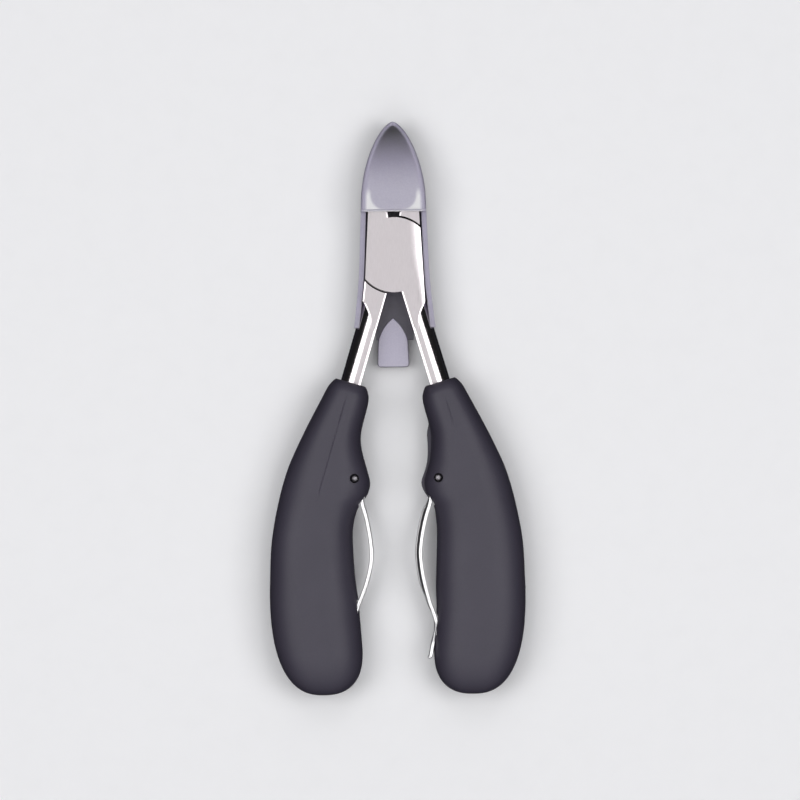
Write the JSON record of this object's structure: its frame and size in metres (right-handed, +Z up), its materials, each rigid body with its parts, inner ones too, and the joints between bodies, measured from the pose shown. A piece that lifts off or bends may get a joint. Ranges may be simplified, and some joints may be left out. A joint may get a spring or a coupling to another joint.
{
  "type": "nail nipper",
  "caption": "Plier-type nail nipper with lap-jointed steel jaws, hollow soft-touch grips, bowed leaf springs and a pull-off frosted jaw cap.",
  "frame": {"origin": "middle of the part's length and width, on the plane that the backs of the grips rest on", "axes": "+X to the right seen from the front, +Y towards the jaw tips, +Z up from the rest plane towards the front face"},
  "size_m": [0.0624, 0.1396, 0.0141],
  "materials": {
    "forged_steel": "satin-ground joint faces, polished shanks",
    "grip": "matte soft-touch, black",
    "spring_steel": "bright rolled strip",
    "frosted_cap": "frosted, milky translucent"
  },
  "bodies": {
    "front": {"front_half": "forged_steel", "pivot_screw": "forged_steel", "right_grip_front_shell": "grip", "right_grip_back_shell": "grip", "right_spring": "spring_steel", "right_spring_pin": "spring_steel"},
    "rear": {"rear_half": "forged_steel", "left_grip_front_shell": "grip", "left_grip_back_shell": "grip", "left_spring": "spring_steel", "left_spring_pin": "spring_steel"},
    "cap": {"jaw_cap": "frosted_cap"}
  },
  "joints": [
    {"name": "jaw_pivot", "type": "hinge", "parent": "front", "child": "rear", "pos_m": [0, 0.03739, 0.0068], "axis": [0, 0, 1], "range_deg": [0, 9.4], "stiffness_Nm_per_rad": 1.5, "deforming": ["left_spring", "right_spring"]},
    {"name": "cap_slide", "type": "slide", "parent": "front", "child": "cap", "axis": [0, 1, 0], "range_m": [0, 0.062]}
  ]
}
